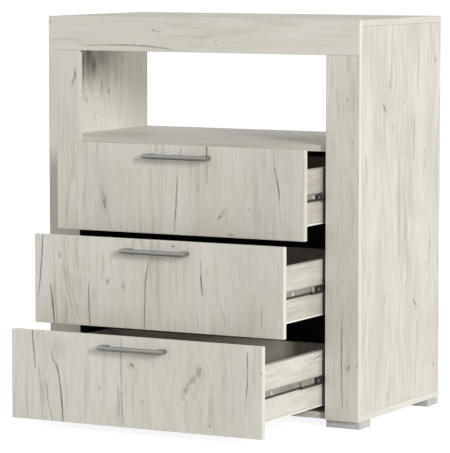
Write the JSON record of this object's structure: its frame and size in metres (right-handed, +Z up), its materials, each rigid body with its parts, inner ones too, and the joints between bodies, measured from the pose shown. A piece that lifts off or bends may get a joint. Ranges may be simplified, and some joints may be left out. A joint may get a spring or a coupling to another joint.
{
  "type": "commode chest",
  "caption": "Chest of drawers in light oak board: an open see-through niche over drawers on ball-bearing slides, with bow handles, a face frame and flat block feet.",
  "frame": {"origin": "middle of the base of the box that the chest fills as pictured, with its drawers open: halfway across the width, halfway from the lowest drawer's handle to the body's back, and on the floor", "axes": "+Z up, +Y from the drawer fronts to the back of the body, +X to the right as seen from in front"},
  "size_m": [0.9, 0.8544, 1.023],
  "materials": {
    "oak_decor": "matt whitewashed oak decor on particle board, with grey knots and fine upright cracks",
    "white_fibreboard": "thin fibreboard with a white lacquered face",
    "zinc_steel": "bright zinc-plated rolled steel",
    "satin_metal": "satin grey metal",
    "grey_plastic": "matt silver-grey plastic"
  },
  "bodies": {
    "chest": {"top_panel": "oak_decor", "bottom_panel": "oak_decor", "side_panel_left": "oak_decor", "side_panel_right": "oak_decor", "shelf": "oak_decor", "partition_left": "oak_decor", "partition_right": "oak_decor", "back_panel": "white_fibreboard", "frame_rail": "oak_decor", "frame_stile_left": "oak_decor", "frame_stile_right": "oak_decor", "foot_front_left": "grey_plastic", "foot_front_right": "grey_plastic", "foot_rear_left": "grey_plastic", "foot_rear_right": "grey_plastic", "top_slide_left_cabinet_rail": "zinc_steel", "top_slide_right_cabinet_rail": "zinc_steel", "middle_slide_left_cabinet_rail": "zinc_steel", "middle_slide_right_cabinet_rail": "zinc_steel", "bottom_slide_left_cabinet_rail": "zinc_steel", "bottom_slide_right_cabinet_rail": "zinc_steel"},
    "top_runners": {"top_slide_left_middle_rail": "zinc_steel", "top_slide_right_middle_rail": "zinc_steel"},
    "middle_runners": {"middle_slide_left_middle_rail": "zinc_steel", "middle_slide_right_middle_rail": "zinc_steel"},
    "bottom_runners": {"bottom_slide_left_middle_rail": "zinc_steel", "bottom_slide_right_middle_rail": "zinc_steel"},
    "top_drawer": {"top_drawer_front": "oak_decor", "top_drawer_side_left": "oak_decor", "top_drawer_side_right": "oak_decor", "top_drawer_back": "oak_decor", "top_drawer_bottom": "white_fibreboard", "top_drawer_handle": "satin_metal", "top_drawer_handle_screw_left": "zinc_steel", "top_drawer_handle_screw_right": "zinc_steel", "top_slide_left_drawer_rail": "zinc_steel", "top_slide_right_drawer_rail": "zinc_steel"},
    "middle_drawer": {"middle_drawer_front": "oak_decor", "middle_drawer_side_left": "oak_decor", "middle_drawer_side_right": "oak_decor", "middle_drawer_back": "oak_decor", "middle_drawer_bottom": "white_fibreboard", "middle_drawer_handle": "satin_metal", "middle_drawer_handle_screw_left": "zinc_steel", "middle_drawer_handle_screw_right": "zinc_steel", "middle_slide_left_drawer_rail": "zinc_steel", "middle_slide_right_drawer_rail": "zinc_steel"},
    "bottom_drawer": {"bottom_drawer_front": "oak_decor", "bottom_drawer_side_left": "oak_decor", "bottom_drawer_side_right": "oak_decor", "bottom_drawer_back": "oak_decor", "bottom_drawer_bottom": "white_fibreboard", "bottom_drawer_handle": "satin_metal", "bottom_drawer_handle_screw_left": "zinc_steel", "bottom_drawer_handle_screw_right": "zinc_steel", "bottom_slide_left_drawer_rail": "zinc_steel", "bottom_slide_right_drawer_rail": "zinc_steel"}
  },
  "joints": [
    {"name": "top_drawer_slide", "type": "slide", "parent": "chest", "child": "top_drawer", "axis": [0, -1, 0], "range_m": [-0.1115, 0.3385]},
    {"name": "middle_drawer_slide", "type": "slide", "parent": "chest", "child": "middle_drawer", "axis": [0, -1, 0], "range_m": [-0.223, 0.227]},
    {"name": "bottom_drawer_slide", "type": "slide", "parent": "chest", "child": "bottom_drawer", "axis": [0, -1, 0], "range_m": [-0.3345, 0.1155]},
    {"name": "top_runner_slide", "type": "slide", "parent": "chest", "child": "top_runners", "axis": [0, -1, 0], "range_m": [-0.0558, 0.1693]},
    {"name": "middle_runner_slide", "type": "slide", "parent": "chest", "child": "middle_runners", "axis": [0, -1, 0], "range_m": [-0.1116, 0.1136]},
    {"name": "bottom_runner_slide", "type": "slide", "parent": "chest", "child": "bottom_runners", "axis": [0, -1, 0], "range_m": [-0.1673, 0.0578]}
  ],
  "couplings": [
    {"joint": "top_runner_slide", "follows": "top_drawer_slide", "ratio": 0.5},
    {"joint": "middle_runner_slide", "follows": "middle_drawer_slide", "ratio": 0.5},
    {"joint": "bottom_runner_slide", "follows": "bottom_drawer_slide", "ratio": 0.5}
  ]
}
